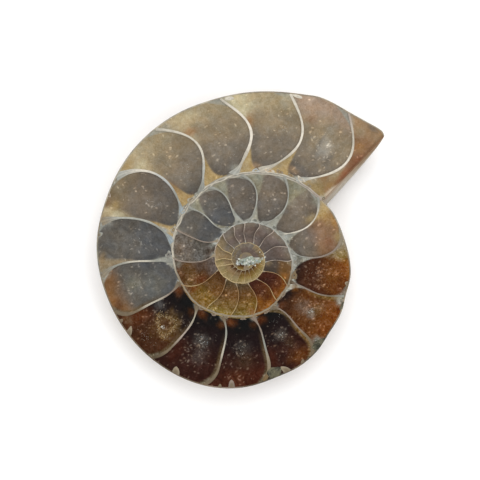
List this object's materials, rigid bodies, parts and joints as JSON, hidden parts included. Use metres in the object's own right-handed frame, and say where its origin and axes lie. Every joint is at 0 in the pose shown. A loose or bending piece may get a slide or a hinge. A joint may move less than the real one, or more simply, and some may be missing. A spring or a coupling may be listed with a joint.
{
  "type": "ammonite fossil half",
  "caption": "Half of a fossil ammonite, sawn through the middle and polished, with mineral-filled chambers; it lies on its rounded back.",
  "frame": {"origin": "bottom centre of the fossil's box, on the surface that it lies on", "axes": "+Z up, out of the sawn and polished face; looking down on that face, +X is to the right and +Y is up, and the coil grows clockwise to its beak at +X +Y"},
  "size_m": [0.0576, 0.0594, 0.0094],
  "materials": {
    "fossil_calcite": "polished on the sawn face, satin shell on the back"
  },
  "bodies": {
    "root": {"ammonite_half": "fossil_calcite"}
  },
  "joints": []
}
